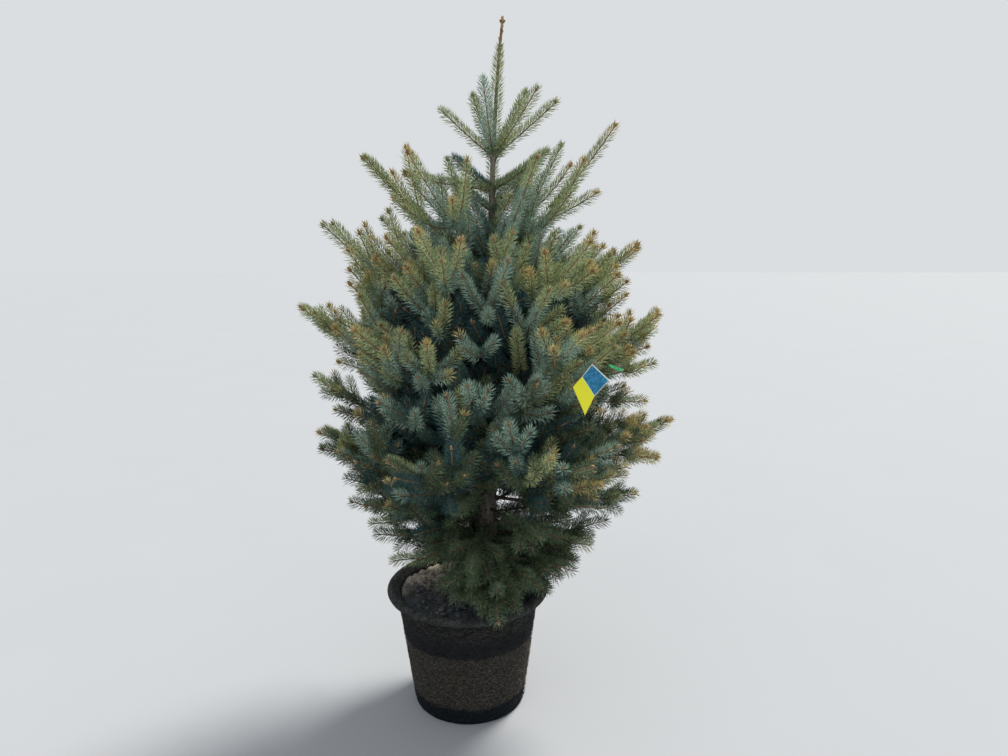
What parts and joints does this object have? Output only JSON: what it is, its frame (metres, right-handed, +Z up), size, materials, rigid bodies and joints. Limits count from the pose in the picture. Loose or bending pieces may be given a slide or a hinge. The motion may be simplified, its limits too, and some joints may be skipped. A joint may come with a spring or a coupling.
{
  "type": "potted blue spruce",
  "caption": "Young blue spruce with a leaning leader and tiered needle-clad boughs, standing in a tapered moulded fibre pot with a rolled rim and a hanging nursery label.",
  "frame": {"origin": "middle of the pot's flat underside, on the surface the pot stands on", "axes": "+Z up along the tree, +X to the right and +Y away as seen from the side where the label hangs"},
  "size_m": [1.1951, 1.0618, 2.19],
  "materials": {
    "pot_fibre": "matte",
    "soil": "matte",
    "bark": "matte",
    "young_twig": "matte",
    "needles_deep": "matte",
    "needles_blue": "matte",
    "needles_silver": "matte",
    "needles_olive": "matte",
    "needles_gold": "matte",
    "label_plastic": "satin",
    "tie_plastic": "satin"
  },
  "bodies": {
    "root": {"fibre_pot": "pot_fibre", "potting_soil": "soil", "trunk": "bark", "leader_needles": "needles_olive", "top_whorl_1": "needles_olive", "top_whorl_2": "needles_olive", "top_whorl_3": "needles_olive", "top_whorl_4": "needles_olive", "top_whorl_5": "needles_olive", "top_whorl_6": "needles_olive", "second_whorl_1": "needles_olive", "second_whorl_2": "needles_olive", "second_whorl_3": "needles_olive", "second_whorl_4": "needles_olive", "upper_tier_1": "needles_blue", "upper_tier_2": "needles_blue", "upper_tier_3": "needles_blue", "upper_tier_4": "needles_blue", "upper_tier_5": "needles_blue", "upper_tier_6": "needles_blue", "shoulder_tier_1": "needles_blue", "shoulder_tier_2": "needles_blue", "shoulder_tier_3": "needles_blue", "shoulder_tier_4": "needles_blue", "shoulder_tier_5": "needles_blue", "shoulder_tier_6": "needles_blue", "middle_tier_1_bough": "bark", "middle_tier_2_bough": "bark", "middle_tier_3_bough": "bark", "middle_tier_4_bough": "bark", "middle_tier_5_bough": "bark", "middle_tier_6_bough": "bark", "middle_tier_1": "needles_blue", "middle_tier_2": "needles_blue", "middle_tier_3": "needles_blue", "middle_tier_4": "needles_blue", "middle_tier_5": "needles_blue", "middle_tier_6": "needles_blue", "lower_tier_1_bough": "bark", "lower_tier_2_bough": "bark", "lower_tier_3_bough": "bark", "lower_tier_4_bough": "bark", "lower_tier_5_bough": "bark", "lower_tier_6_bough": "bark", "lower_tier_1": "needles_deep", "lower_tier_2": "needles_deep", "lower_tier_3": "needles_deep", "lower_tier_4": "needles_deep", "lower_tier_5": "needles_deep", "lower_tier_6": "needles_deep", "skirt_tier_1_bough": "bark", "skirt_tier_2_bough": "bark", "skirt_tier_3_bough": "bark", "skirt_tier_4_bough": "bark", "skirt_tier_1": "needles_deep", "skirt_tier_2": "needles_deep", "skirt_tier_3": "needles_deep", "skirt_tier_4": "needles_deep", "label": "label_plastic", "label_tie": "tie_plastic"}
  },
  "joints": []
}
